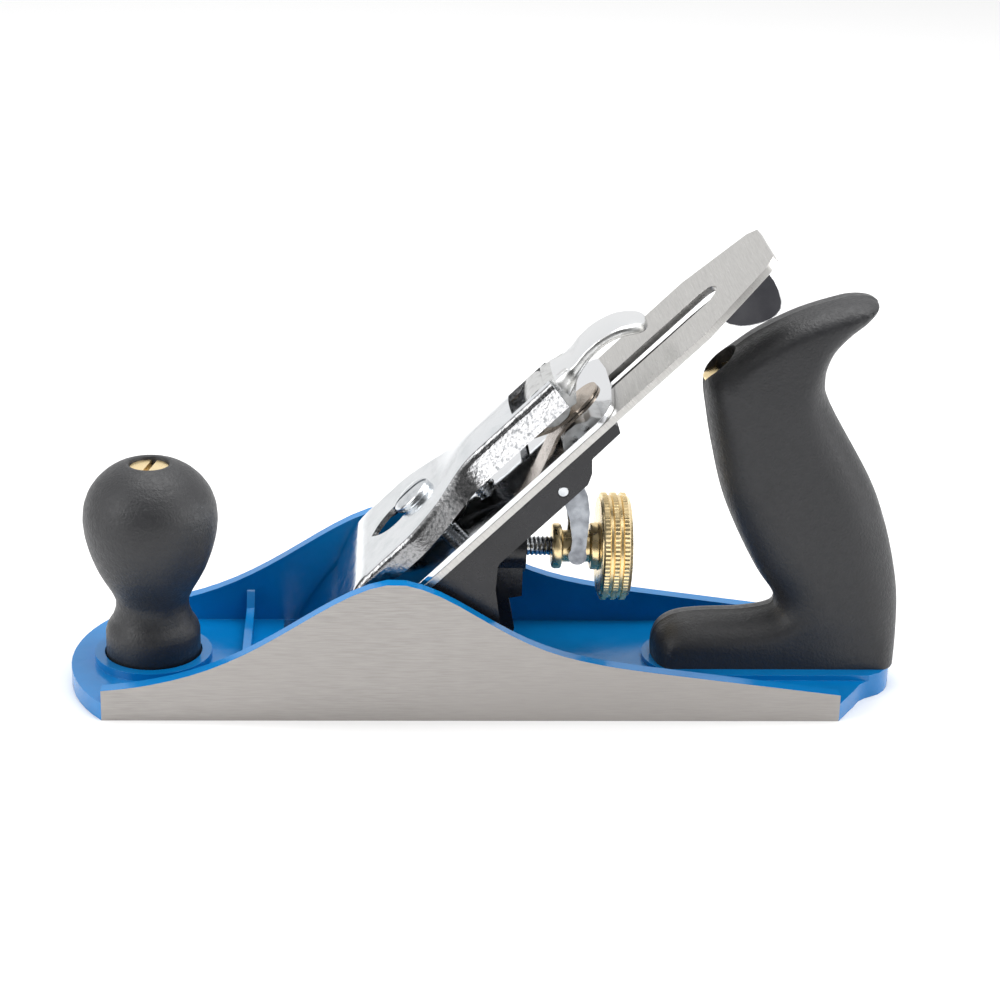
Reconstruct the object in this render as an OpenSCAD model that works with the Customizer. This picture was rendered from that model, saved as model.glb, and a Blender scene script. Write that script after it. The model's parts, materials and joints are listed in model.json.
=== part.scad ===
// Metal smoothing plane: cast body, adjustable frog, bevel-down cutting iron,
// pressed lever cap with a cam, brass depth wheel, knob and rear tote.
// X runs from toe to heel, Y across, Z up from the sole.

/* [Body] */
// Overall length of the casting
body_l = 245; // [235:1:255]
// Width over the two ground sides
body_w = 62; // [60:0.5:66]
// Thickness of the side walls
wall_t = 4; // [3:0.5:4]
// Thickness of the sole
floor_t = 5.5; // [5:0.5:6]
// Height of the ring that holds the knob's base
ring_h = 7.9; // [7:0.1:8.5]
// Height of the seat under the tote
heel_h = 7.2; // [7:0.1:8]
// Height of the side walls at their crest
crest_z = 42.6; // [40:0.1:44]

/* [Bed] */
// Angle of the bed that carries the iron
bed_angle = 45; // [45]
// Where the bed plane meets the sole
bed_x = -56.5; // [-57:0.1:-56]
// Width of the frog
frog_w = 49; // [46:0.5:49]
// Height of the frog's seat above the sole
seat_z = 12; // [11:0.5:13]
// Running gap between pieces that slide on each other
gap = 0.06; // [0.02:0.01:0.1]

/* [Irons] */
// Width of the cutting iron
iron_w = 50; // [48:0.5:50]
// Length of the cutting iron along the bed
iron_l = 188; // [180:1:190]
// Thickness of the cutting iron
iron_t = 2.1; // [1.8:0.1:2.4]
// Width of the long slot
slot_w = 11; // [10.5:0.5:11.5]
// Thickness of the cap iron
cap_iron_t = 1.6; // [1.4:0.1:2]
// Upper end of the cap iron along the bed
cap_iron_l = 129.5; // [126:0.5:131]

/* [Lever cap] */
// Height of the cap's top plate above the bed
cap_h = 15.8; // [15.5:0.1:16.2]
// Sheet thickness of the cap
cap_t = 1.6; // [1.4:0.1:2]
// Depth of the cap's side flanges
flange_h = 6.9; // [6:0.1:7]
// Place of the lever cap screw along the bed
screw_s = 64.3; // [64:0.1:65]
// Place of the cam's pin along the bed
cam_s = 112.5; // [112:0.1:113]
// Height of the cam's pin above the bed
cam_h = 11.2; // [11:0.1:11.4]

/* [Depth adjustment] */
// Height of the wheel's axis above the sole
wheel_z = 41.8; // [41:0.1:42.5]
// Radius over the knurled rings
wheel_r = 15.8; // [15:0.1:16]
// Place of the yoke's pin along the bed
yoke_s = 101.4; // [101:0.1:102]
// Depth of the yoke's pin under the bed
yoke_h = -4.9; // [-5:0.1:-4.8]

/* [Handles] */
// Place of the knob's axis
knob_x = -98.6; // [-99:0.1:-98]
// Thickness of the tote
tote_w = 25; // [23:0.5:26]

/* [Hidden] */
$fn = 48;
half_w = body_w / 2;
toe_x = -body_l / 2;
heel_x = body_l / 2;
toe_corner = -111.2;
heel_corner = 101;
inner_y = half_w - wall_t;
toe_drop = 11.3;
// Radius of the plan curve that joins the toe's corners to its tip
toe_r = (half_w * half_w + toe_drop * toe_drop) / (2 * toe_drop);
bed_root = 1 / sqrt(2);
cap_iron_top = iron_t + cap_iron_t;
hump_h = 5.5;
hump_s = 28;
cap_hw = 24.5;
taper_s = 161;
iron_top_hw = 14.3;
leaf_h = 3.86;
leaf_hw = 6.8;
slot_low_s = 62;
slot_end_s = 169.5;
head_screw_s = 81;
neck_hw = 15;
nose_s = 27.5;
fold_s = 41;
kink_s = 61;
neck_s = 83;
cap_end_s = 118;
wheel_x = 31.8;
wheel_end_x = 40.8;
lateral_s = 118;
frog_foot_x = 3.5;
tote_lean = 20;
tote_stud_x = 97.6;
tote_nut_t = 90.2;
knob_nut_z = 60.7;
knob_foot_r = 13.8;

// Children are drawn with X up the bed, Y across and Z out of the bed
module on_bed() translate([bed_x, 0, 0]) rotate([0, -bed_angle, 0]) children();

// Children are a profile in X and Z, given as X and Y, centred across Y
module across(w) rotate([90, 0, 0]) linear_extrude(w, center = true) children();

// Cosine ease from 0 to 1
function ease(t) = (1 - cos(180 * min(max(t, 0), 1))) / 2;

// Height of a side wall's top edge at x: a bell in front of the crest, and a
// bell on a falling line behind it
crest_x = -27.5;
function wall_z(x) =
    x < crest_x ? 8 + (crest_z - 8) * exp(-pow((crest_x - x) / 43, 1.8))
                : crest_z - 17.8 - 0.129 * (x - crest_x) + 17.8 * exp(-pow((x - crest_x) / 31.8, 2.08));

wall_steps = 42;
wall_edge = [for (i = [0:wall_steps])
    let (x = toe_corner + i * (heel_corner - toe_corner) / wall_steps) [x, wall_z(x)]];

// ---- Casting --------------------------------------------------------------

// Half width of the heel's rounded lobe
heel_lobe = 15.5;
// One side of the heel in plan, from the ground side in to the lobe
heel_side = [[heel_corner, half_w], [104, 26.5], [107, 22], [109.2, 18.2], [111.6, heel_lobe + 0.5]];

module body_plan() {
    polygon(concat(
        [for (i = [0:16])
            let (y = half_w - i * body_w / 16)
            [toe_x + toe_r - sqrt(toe_r * toe_r - y * y), y]],
        [for (p = heel_side) [p[0], -p[1]]],
        [for (a = [-75:15:75]) [heel_x - 11.7 + 10.5 * cos(a), heel_lobe * sin(a)]],
        [for (i = [len(heel_side) - 1:-1:0]) heel_side[i]]));
}

module side_wall(side) {
    translate([0, side * (half_w - wall_t / 2), 0])
        across(wall_t)
            polygon(concat([[heel_corner, 0], [toe_corner, 0]], wall_edge));
}

// Cross rib on the floor in front of the mouth, rising to the walls
module front_rib() {
    translate([-71, 0, 0]) rotate([90, 0, 90]) linear_extrude(2.4, center = true)
        polygon([[-inner_y - 1, 1], [inner_y + 1, 1], [inner_y + 1, 16], [inner_y - 1, 15],
                 [inner_y - 4, 11], [-inner_y + 4, 11], [-inner_y + 1, 15], [-inner_y - 1, 16]]);
}

// Raised block with the seat for the frog and the last of the bed ramp
module frog_seat() {
    ramp_x = bed_x + 1 / bed_root;
    across(40)
        polygon([[ramp_x + 1, 1], [ramp_x + seat_z, seat_z], [frog_foot_x + 1, seat_z],
                 [frog_foot_x + 3, 1]]);
}

module mouth_cut() {
    back = bed_x + 0.9 / bed_root;
    across(2 * inner_y - 0.5)
        polygon([[-60.9, -1], [back - 1, -1], [back + floor_t + 0.6, floor_t + 0.6], [-60.9, floor_t + 0.6]]);
}

module body() color("dodgerblue") difference() {
    union() {
        linear_extrude(floor_t) body_plan();
        translate([knob_x, 0, 0]) cylinder(r = knob_foot_r + 3.4, h = ring_h);
        // Seat under the tote runs out to the heel
        intersection() {
            linear_extrude(heel_h) body_plan();
            union() {
                translate([62, 0, 0]) cylinder(r = heel_lobe, h = heel_h);
                translate([62, -heel_lobe, 0]) cube([70, 2 * heel_lobe, heel_h]);
            }
        }
        side_wall(-1);
        side_wall(1);
        front_rib();
        frog_seat();
    }
    mouth_cut();
    // Recess that locates the knob's base, and its stud hole
    translate([knob_x, 0, floor_t - 0.2]) cylinder(r = knob_foot_r + 0.5, h = 10);
    translate([knob_x, 0, 2]) cylinder(d = 6.1, h = 10);
    // Tapped hole for the tote's stud
    tote_axis() translate([0, 0, -4]) cylinder(d = 6.1, h = 20);
    // Tapped holes for the frog's screws
    for (y = [-1, 1]) translate([frog_screw_x, y * frog_screw_y, 3]) cylinder(d = 6.1, h = 20);
}

// ---- Frog -----------------------------------------------------------------

frog_screw_x = -22;
frog_screw_y = 13;
frog_low_s = seat_z / bed_root;
web_x = 9.5;

frog_z = seat_z + 0.02;

// Point in X and Z for a place s up the bed and h out of it
function bed_pt(s, h) = [bed_x + (s - h) * bed_root, (s + h) * bed_root];

module frog_plate_profile() polygon([
    [bed_x + frog_z, frog_z], bed_pt(125.2, 0), bed_pt(125.6, -1.4), bed_pt(124.6, -3.2),
    bed_pt(114, -3.4), bed_pt(111, -4.6), [bed_x + frog_z + 6.6, frog_z]]);

module frog_cheek_profile() polygon([
    [bed_x + frog_z + 3, frog_z], bed_pt(112, -2), [5.9, 54.4], [2.9, 49.8], [0.9, 45.1],
    [0.5, 38.1], [1.2, 33.3], [2.2, 27], [frog_foot_x, frog_z]]);

module frog() color("dimgray") difference() {
    union() {
        across(frog_w) frog_plate_profile();
        for (y = [-1, 1]) translate([0, y * (frog_w / 2 - 2.25), 0]) {
            across(4.5) frog_cheek_profile();
            across(4.5) polygon([bed_pt(70, -2), bed_pt(113.6, -2), bed_pt(113.6, -3.6),
                                 bed_pt(110.8, -6.6), bed_pt(107.8, -8.2), bed_pt(72, -8.2)]);
        }
        // Middle web with the boss for the wheel's stud
        across(12) polygon([[bed_x + frog_z + 4, frog_z], [-9, 44], [web_x, 51.6], [web_x, 28.2],
                            [5.6, 27.6], [7.6, 18], [6, frog_z]]);
        across(12) polygon([bed_pt(60, -2), bed_pt(91.5, -2), bed_pt(91.5, -8), bed_pt(60, -14)]);
        // Foot that sits on the casting
        across(frog_w) polygon([[bed_x + frog_z + 4, frog_z], [bed_x + seat_z + 9, seat_z + 5],
                                [frog_foot_x - 0.4, seat_z + 5], [frog_foot_x, frog_z]]);
        translate([web_x - 8, 0, wheel_z]) rotate([0, 90, 0]) cylinder(r = 7.6, h = 8.8);
    }
    on_bed() {
        // Room for the cap iron screw's head, and the window for the yoke
        translate([70, -9.5, -3.6]) cube([22.5, 19, 8]);
        translate([92, -9.5, -12]) cube([17, 19, 20]);
        // Shallow recess for the lateral lever and its roller
        translate([108, -9.5, -2.6]) cube([20, 19, 5]);
        // Windows that reach the frog's screws
        for (y = [-1, 1]) translate([27, y * frog_screw_y - 6.6, -6.5]) cube([33, 13.2, 12]);
        translate([screw_s, 0, -11]) cylinder(d = 6.1, h = 20);
        translate([yoke_s, 0, yoke_h]) rotate([90, 0, 0]) cylinder(d = 3.2, h = 60, center = true);
        translate([lateral_s, 0, -8]) cylinder(d = 4, h = 12);
    }
    translate([web_x - 9.2, 0, wheel_z]) rotate([0, 90, 0]) cylinder(d = 6, h = 12);
    for (y = [-1, 1]) translate([frog_screw_x, y * frog_screw_y, seat_z - 2]) cylinder(d = 8, h = 9);
}

module frog_screws() color("silver") for (y = [-1, 1])
    translate([frog_screw_x, y * frog_screw_y, 0]) difference() {
        union() {
            translate([0, 0, 4]) cylinder(d = 6, h = seat_z + 2.6);
            translate([0, 0, seat_z + 6.6]) cylinder(d = 10, h = 4);
        }
        translate([-6, -0.6, seat_z + 8.8]) cube([12, 1.2, 4]);
    }

module frog_washers() color("silver") for (y = [-1, 1])
    translate([frog_screw_x, y * frog_screw_y, seat_z + 5.1]) difference() {
        cylinder(d = 13.5, h = 1.4);
        translate([0, 0, -1]) cylinder(d = 6.4, h = 4);
    }

// ---- Depth adjustment -----------------------------------------------------

module wheel_stud() color("silver")
    translate([web_x - 9, 0, wheel_z]) rotate([0, 90, 0]) cylinder(d = 5.9, h = 37.4);

// Turned profile: flange, groove for the yoke, collar and three rings
module depth_wheel() color("goldenrod")
    translate([0, 0, wheel_z]) rotate([0, 90, 0]) rotate_extrude($fn = 64) polygon([
        [3.02, 18.1], [6.3, 18.1], [6.7, 18.6], [6.7, 20.4], [6.2, 21], [4.7, 21], [4.7, 29.3],
        [6.9, 29.3], [6.9, wheel_x], [wheel_r - 1, wheel_x], [wheel_r, wheel_x + 0.8],
        [wheel_r, 34.2], [wheel_r - 1, 34.4], [wheel_r - 1, 35.1], [wheel_r, 35.3],
        [wheel_r, 37], [wheel_r - 1, 37.2], [wheel_r - 1, 37.9], [wheel_r, 38.1],
        [wheel_r, 40.1], [wheel_r - 0.9, wheel_end_x], [3.02, wheel_end_x]]);

// Profile of one arm, from the pin down to the wheel's groove
module yoke_arm_profile() polygon([
    [14.6, 65.8], [17.5, 70.6], [21.4, 69.4], [24.6, 66.4], [27.4, 60.6], [28.2, 55.4],
    [27.9, 49.4], [27.4, wheel_z], [23, wheel_z], [23.4, 46.6], [22.6, 52.6], [20.6, 58.6], [17.6, 62.4]]);

module yoke() color("silver") difference() {
    union() {
        for (y = [-1, 1]) translate([0, y * 7, 0]) {
            across(2.2) yoke_arm_profile();
            translate([25.15, 0, wheel_z]) rotate([90, 0, 0]) cylinder(r = 2.7, h = 2.2, center = true);
        }
        on_bed() {
            translate([yoke_s, 0, yoke_h]) rotate([90, 0, 0]) cylinder(r = 3.8, h = 16.2, center = true);
            // Finger that enters the cap iron's slot
            across(9) polygon([[98.8, yoke_h], [95.7, 1.5], [95.7, 4.4], [97.6, 4.4], [97.9, 1.5], [103, -3]]);
        }
    }
    on_bed() translate([yoke_s, 0, yoke_h]) rotate([90, 0, 0]) cylinder(d = 3.2, h = 30, center = true);
}

module yoke_pin() color("silver") on_bed()
    translate([yoke_s, 0, yoke_h]) rotate([90, 0, 0]) cylinder(d = 3.1, h = frog_w, center = true);

// ---- Lateral adjustment ---------------------------------------------------

// Strip under the iron that ends in a thumb tab turned down
module lateral_lever() color("silver") on_bed() difference() {
    union() {
        translate([0, 0, -2.3]) linear_extrude(1.8)
            polygon([[108.6, -3], [108.6, 3], [112, 4.6], [124, 5], [150, 4], [158, 4], [181, 1],
                     [181, -4.2], [158, -4.2], [150, -4.2], [124, -5], [112, -4.6]]);
        translate([0, -3.4, 0]) across(1.6) polygon([
            [182.2, -1], [164.5, -1], [164.6, -5.5], [165.2, -7.6], [167.1, -10.3], [169.2, -12],
            [171.7, -13.5], [174.3, -14.6], [176.7, -14.9], [178.8, -14.4], [180.5, -12.9],
            [182.1, -9.7], [183, -6.8], [183.2, -4.5]]);
    }
    translate([lateral_s, 0, -8]) cylinder(d = 4.1, h = 12);
}

module lateral_pivot() color("silver") on_bed()
    translate([lateral_s, 0, -3.9]) cylinder(d = 3.9, h = 3.4);

module lateral_roller() color("silver") on_bed()
    translate([111.6, 0, -0.45]) difference() {
        cylinder(d = 10.6, h = 2.2);
        translate([0, 0, -1]) cylinder(d = 3, h = 1.8);
    }

// ---- Irons ----------------------------------------------------------------

module cutting_iron() color("lightgray") on_bed() {
    tip_s = -iron_t + 0.35;
    difference() {
        intersection() {
            across(iron_w) polygon([[tip_s, iron_t], [tip_s + 4.5, gap], [iron_l, gap], [iron_l, iron_t]]);
            translate([0, 0, -1]) linear_extrude(iron_t + 2)
                polygon([[tip_s - 1, -iron_w / 2], [taper_s, -iron_w / 2], [iron_l - 3.5, -iron_top_hw - 3.5],
                         [iron_l, -iron_top_hw], [iron_l, iron_top_hw], [iron_l - 3.5, iron_top_hw + 3.5],
                         [taper_s, iron_w / 2], [tip_s - 1, iron_w / 2]]);
        }
        translate([slot_low_s, -slot_w / 2, -1])
            cube([slot_end_s - slot_w / 2 - slot_low_s, slot_w, iron_t + 2]);
        translate([slot_end_s - slot_w / 2, 0, -1]) cylinder(d = slot_w, h = iron_t + 2);
        translate([slot_low_s, 0, -1]) cylinder(d = 18, h = iron_t + 2);
    }
}

// Sheet outline of the cap iron: flat on the iron, then a hump behind the edge
function hump(s) = hump_h * (s < hump_s ? sin(90 * (s - 1.4) / (hump_s - 1.4))
                                        : 1 - ease((s - hump_s) / 22));
hump_pts = [for (i = [0:14]) let (s = 1.4 + i * 48.6 / 14) [s, hump(s)]];

module cap_iron() color("white") on_bed() difference() {
    intersection() {
        across(iron_w) polygon(concat(
            [for (p = hump_pts) [p[0], iron_t + gap + p[1]]],
            [[cap_iron_l, iron_t + gap], [cap_iron_l, cap_iron_top]],
            [for (i = [len(hump_pts) - 1:-1:1]) [hump_pts[i][0], cap_iron_top + hump_pts[i][1]]]));
        translate([0, 0, -1]) linear_extrude(20) polygon(concat(
            [[0, -iron_w / 2], [0, iron_w / 2]],
            [for (a = [90:-15:0]) [cap_iron_l - 8 + 7 * cos(a), iron_w / 2 - 8 + 8 * sin(a)]],
            [[cap_iron_l, 8], [cap_iron_l, -8]],
            [for (a = [0:-15:-90]) [cap_iron_l - 8 + 7 * cos(a), -iron_w / 2 + 8 + 8 * sin(a)]]));
    }
    // Slot for the yoke's finger, hole for the lever cap screw, tapped hole
    translate([95.2, -6, 0]) cube([3, 12, 10]);
    translate([screw_s, 0, 0]) cylinder(d = 11, h = 10);
    translate([screw_s + 3.6, 0, 0]) cylinder(d = 11, h = 10);
    translate([head_screw_s, 0, 0]) cylinder(d = 6.6, h = 10);
}

module cap_iron_screw() color("silver") on_bed() translate([head_screw_s, 0, 0]) difference() {
    union() {
        translate([0, 0, -2.7]) cylinder(d = 17, h = 2.7);
        translate([0, 0, -1]) cylinder(d = 6.5, h = 6.5);
    }
    translate([-0.7, -10, -4]) cube([1.4, 20, 2.6]);
}

// ---- Lever cap ------------------------------------------------------------

module cap_plan(inset) polygon([
    [nose_s - 5, -cap_hw + inset], [kink_s, -cap_hw + inset], [neck_s, -neck_hw + inset],
    [cap_end_s, -neck_hw + inset], [cap_end_s, neck_hw - inset], [neck_s, neck_hw - inset],
    [kink_s, cap_hw - inset], [nose_s - 5, cap_hw - inset]]);

module lever_cap() color("whitesmoke") on_bed() difference() {
    union() {
        intersection() {
            across(60) polygon([[fold_s, cap_h], [cap_end_s, cap_h], [cap_end_s, cap_h - cap_t],
                                [fold_s + 0.5, cap_h - cap_t], [nose_s + 1.2, 9.4], [nose_s, 9.4], [nose_s, 11]]);
            linear_extrude(30) cap_plan(0);
        }
        // Side flanges
        difference() {
            intersection() {
                across(60) polygon([[fold_s + 1, cap_h - 0.5], [cap_end_s, cap_h - 0.5],
                                    [cap_end_s, cap_h - flange_h], [50, cap_h - flange_h], [35, 12.2]]);
                linear_extrude(30) cap_plan(0);
            }
            linear_extrude(40, center = true) cap_plan(cap_t);
        }
    }
    // Keyhole: round end passes the screw's head, narrow end holds it
    translate([54, 0, 8]) cylinder(d = 14, h = 12);
    translate([54, -3.6, 8]) cube([screw_s - 54, 7.2, 12]);
    translate([screw_s, 0, 8]) cylinder(d = 7.2, h = 12);
    // Notch for the cam lever, and the holes for its pin
    translate([103.5, -12.9, 8]) cube([20, 25.8, 12]);
    translate([cam_s, 0, cam_h]) rotate([90, 0, 0]) cylinder(d = 3.1, h = 50, center = true);
    translate([87, 0, 8]) cylinder(d = 3, h = 12);
}

// Leaf that the cam presses on the cap iron
module cap_spring() color("tan") on_bed() difference() {
    union() {
        across(2 * leaf_hw) polygon([[84, 14.1], [84, 13.3], [88, 12.7], [95, 10.3], [102, 7.3],
                                     [108, 4.6], [113, 3.9], [118.5, leaf_h], [118.5, leaf_h + 0.8],
                                     [113.2, 4.7], [108.3, 5.4], [102.3, 8.1], [95.3, 11.1],
                                     [90.4, 13.2], [89, 14.1]]);
        translate([118.5, 0, leaf_h]) cylinder(r = leaf_hw + 0.2, h = 0.8);
    }
    translate([87, 0, 8]) cylinder(d = 3, h = 12);
}

module spring_rivet() color("silver") on_bed() translate([87, 0, 0]) {
    translate([0, 0, 12.6]) cylinder(d = 2.9, h = 3.6);
    translate([0, 0, cap_h + 0.05]) cylinder(d = 5, h = 0.7);
}

module cam_lever() color("gainsboro") on_bed() difference() {
    union() {
        // Cam disc on the pin, flattened where it locks on the leaf
        translate([cam_s, 0, cam_h]) rotate([90, 0, 0]) cylinder(r = 6.3, h = 25, center = true);
        // Block behind the cap, then the curved finger
        across(25) polygon([[cam_s, cam_h - 6], [119, 6.4], [123.6, 11.5], [124.3, 13], [124.3, 15.9],
                            [120, 16.4], [118.3, 16], [118.3, 15], [cam_s, 15.4]]);
        intersection() {
            across(18) polygon([[119, 9], [122.3, 10.4], [125.7, 11.9], [131.3, 13.2], [137, 13.1],
                                [142, 11.4], [146, 8.6], [148, 7.6], [149.2, 8.4], [149.2, 10],
                                [146.6, 12.9], [142, 15.2], [136.5, 16.6], [130.5, 17], [126, 16.4],
                                [122, 16], [119, 15.8]]);
            translate([0, 0, -1]) linear_extrude(40) polygon(concat(
                [[115, -13], [122, -11], [127, -8.5]],
                [for (a = [-90:15:90]) [141.6 + 8 * cos(a), 8 * sin(a)]],
                [[127, 8.5], [122, 11], [115, 13]]));
        }
    }
    translate([cam_s - 10, -20, 0]) cube([20, 40, cam_h - 6]);
    translate([cam_s, 0, cam_h]) rotate([90, 0, 0]) cylinder(d = 3.1, h = 50, center = true);
}

module cam_pin() color("silver") on_bed()
    translate([cam_s, 0, cam_h]) rotate([90, 0, 0]) cylinder(d = 3, h = 2 * neck_hw + 0.6, center = true);

module lever_cap_screw() color("silver") on_bed() translate([screw_s, 0, 0]) difference() {
    union() {
        translate([0, 0, -9]) cylinder(d = 6, h = cap_h + 9.5);
        translate([0, 0, cap_h + 0.1]) cylinder(d = 12.8, h = 2.2);
        translate([0, 0, cap_h + 2.2]) cylinder(d1 = 12.8, d2 = 8.6, h = 1.4);
    }
    translate([-7, -0.7, cap_h + 2]) cube([14, 1.4, 4]);
}

// ---- Handles --------------------------------------------------------------

knob_base_z = floor_t - 0.2;

module knob() color("dimgray") translate([knob_x, 0, 0]) difference() {
    rotate_extrude($fn = 64) polygon([
        [0, knob_base_z], [knob_foot_r - 0.5, knob_base_z], [knob_foot_r, knob_base_z + 0.6],
        [knob_foot_r, 14.8], [13.3, 16.6], [11.6, 19.2], [10.6, 22.4], [10.7, 25], [12, 28], [13.9, 31.2],
        [15.9, 35], [17.8, 40.2], [19, 45], [19.5, 49.6], [19.1, 54], [17.7, 58], [15.5, 61.2],
        [12.8, 63.8], [9.8, 65.7], [6.9, 66.7], [0, 66.7]]);
    translate([0, 0, knob_nut_z - 0.1]) cylinder(r = 5.8, h = 10);
    translate([0, 0, knob_base_z - 1]) cylinder(d = 6.6, h = 60);
}

module knob_stud() color("silver") translate([knob_x, 0, 2.5]) cylinder(d = 5.9, h = knob_nut_z - 0.3);

module slotted_nut() difference() {
    union() {
        cylinder(r = 5.55, h = 5);
        translate([0, 0, -9]) cylinder(d = 6.4, h = 9.1);
    }
    translate([-0.8, -6, 3.4]) cube([1.6, 12, 3]);
    translate([0, 0, -10]) cylinder(d = 6, h = 12.5);
}

module knob_nut() color("goldenrod") translate([knob_x, 0, knob_nut_z]) rotate([0, 0, -12]) slotted_nut();

module tote_axis() translate([tote_stud_x, 0, heel_h]) rotate([0, -tote_lean, 0]) children();

module tote_profile() polygon([
    [59.9, 93.5], [61.2, 84.6], [63.2, 75.2], [67.2, 60.4], [72.8, 47.4], [79.4, 35.2], [84.2, 28.4],
    [85, 25.6], [83.4, 23.4], [75.4, 21.9], [63.4, 21.4], [55.8, 20.2], [51, 17.2], [49, 12.6],
    [49, heel_h], [heel_x - 0.2, heel_h], [heel_x, 17], [121.9, 28], [119.7, 39.4], [116.1, 51.4],
    [110.4, 64.7], [102.8, 77.4], [97.2, 87], [95, 95.4], [96.4, 102.4], [100.6, 107.8], [105.2, 111.8],
    [107.8, 115], [108.6, 117.6], [106.6, 119], [102.4, 119.3], [97.5, 118.4], [86.3, 114.6],
    [75.2, 108.8], [68.4, 103.8], [62.3, 98.6]]);

module tote() color("dimgray") difference() {
    across(tote_w) tote_profile();
    tote_axis() {
        translate([0, 0, -4]) cylinder(d = 6.6, h = 120);
        translate([0, 0, tote_nut_t - 0.1]) cylinder(r = 5.8, h = 30);
    }
}

module tote_stud() color("silver") tote_axis() translate([0, 0, -3.6]) cylinder(d = 5.9, h = tote_nut_t + 5.6);

module tote_nut() color("goldenrod") tote_axis() translate([0, 0, tote_nut_t]) slotted_nut();

body();
frog();
frog_screws();
frog_washers();
wheel_stud();
depth_wheel();
yoke();
yoke_pin();
lateral_lever();
lateral_roller();
lateral_pivot();
cutting_iron();
cap_iron();
cap_iron_screw();
lever_cap();
cap_spring();
spring_rivet();
cam_lever();
cam_pin();
lever_cap_screw();
knob();
knob_stud();
knob_nut();
tote();
tote_stud();
tote_nut();
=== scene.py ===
"""Looks for a metal smoothing plane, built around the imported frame.

Shapes are worked out in millimetres, +X from toe to heel and +Z up from the sole, and turned into
metres when a mesh is made. Places on the bed are given as (s, y, h): s up the bed, h out of it.
"""

import json
import math

import bmesh
import bpy
import numpy as np
from mathutils import Matrix, Vector
from mathutils.geometry import delaunay_2d_cdt


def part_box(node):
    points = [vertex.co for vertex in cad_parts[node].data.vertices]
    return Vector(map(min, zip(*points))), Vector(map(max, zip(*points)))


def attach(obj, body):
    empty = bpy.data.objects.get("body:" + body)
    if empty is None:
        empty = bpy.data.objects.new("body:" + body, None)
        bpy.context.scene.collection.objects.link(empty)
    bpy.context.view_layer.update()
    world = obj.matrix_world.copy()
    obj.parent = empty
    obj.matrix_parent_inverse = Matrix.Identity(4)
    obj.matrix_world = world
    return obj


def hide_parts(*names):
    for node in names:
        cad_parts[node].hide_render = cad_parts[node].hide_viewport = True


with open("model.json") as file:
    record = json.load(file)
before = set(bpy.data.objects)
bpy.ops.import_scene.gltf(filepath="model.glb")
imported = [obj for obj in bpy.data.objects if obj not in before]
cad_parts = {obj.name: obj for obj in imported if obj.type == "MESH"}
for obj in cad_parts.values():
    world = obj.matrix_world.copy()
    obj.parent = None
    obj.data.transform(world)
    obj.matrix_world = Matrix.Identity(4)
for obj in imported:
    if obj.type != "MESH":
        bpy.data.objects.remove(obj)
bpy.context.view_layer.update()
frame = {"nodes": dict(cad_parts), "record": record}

MM = 0.001
# Vertices nearer than this are one, and faces nearer flat than this are one face
WELD_MM = 0.002
FLAT_ANGLE = math.radians(0.8)
SLOT_OF = {p["node"]: p["material_slot"] for p in frame["record"]["subparts"]}
BODY_OF = {n: b for b, nodes in frame["record"]["behaviour"]["bodies"].items() for n in nodes}


def box_mm(node):
    """Lowest and highest corner of a node, in millimetres."""
    low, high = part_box(node)
    return low / MM, high / MM


# ---- Mesh helpers -----------------------------------------------------------


def face_outwards(mesh):
    bm = bmesh.new()
    bm.from_mesh(mesh)
    bmesh.ops.recalc_face_normals(bm, faces=bm.faces)
    bm.to_mesh(mesh)
    bm.free()


def shade_smooth(mesh):
    for polygon in mesh.polygons:
        polygon.use_smooth = True


def linked_object(name, data):
    obj = bpy.data.objects.new(name, data)
    bpy.context.scene.collection.objects.link(obj)
    return obj


def add_piece(name, verts, faces, material, node):
    """A new object that stands for a node: it rides on the node's body and takes the material given."""
    mesh = bpy.data.meshes.new(name)
    mesh.from_pydata([Vector(v) * MM for v in verts], [], faces)
    mesh.validate()
    face_outwards(mesh)
    shade_smooth(mesh)
    piece = linked_object(name, mesh)
    mesh.materials.append(material)
    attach(piece, BODY_OF[node])
    return piece


def edge_angle_shading(piece, degrees=40):
    """Smooth shading that keeps edges sharper than the angle."""
    piece.data.set_sharp_from_angle(angle=math.radians(degrees))


def weight_normals(piece):
    """Keeps large faces flat-looking beside their rounded edges."""
    piece.modifiers.new("normals", "WEIGHTED_NORMAL").weight = 60


def bevel(piece, width, segments=2, degrees=40):
    """Rounds the edges that are sharper than the angle, by width in millimetres."""
    modifier = piece.modifiers.new("bevel", "BEVEL")
    modifier.width = width * MM
    modifier.segments = segments
    modifier.limit_method = "ANGLE"
    modifier.angle_limit = math.radians(degrees)
    weight_normals(piece)


def soften(piece, width, segments):
    """Merges a node's faces and rounds its edges by width, with modifiers only."""
    shade_smooth(piece.data)
    piece.modifiers.new("weld", "WELD").merge_threshold = WELD_MM * MM
    flat = piece.modifiers.new("flat", "DECIMATE")
    flat.decimate_type = "DISSOLVE"
    flat.angle_limit = FLAT_ANGLE
    bevel(piece, width, segments, 32)


def merged_copy(node):
    """A bmesh of a node, in millimetres, with its flat faces joined."""
    bm = bmesh.new()
    bm.from_mesh(frame["nodes"][node].data)
    bmesh.ops.scale(bm, vec=(1 / MM,) * 3, verts=bm.verts)
    bmesh.ops.remove_doubles(bm, verts=bm.verts, dist=WELD_MM)
    bmesh.ops.dissolve_limit(bm, angle_limit=FLAT_ANGLE, verts=bm.verts, edges=bm.edges)
    return bm


def spline(points, steps):
    """Open Catmull-Rom curve through the points, with that many steps from one to the next."""
    points = [np.array(p, float) for p in points]
    last = len(points) - 1
    out = []
    for i in range(last):
        a, b, c, d = (points[min(max(i + k, 0), last)] for k in (-1, 0, 1, 2))
        for j in range(steps):
            t = j / steps
            out.append(0.5 * (2 * b + (c - a) * t + (2 * a - 5 * b + 4 * c - d) * t * t
                              + (3 * b - a - 3 * c + d) * t ** 3))
    return out + [points[-1]]


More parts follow.
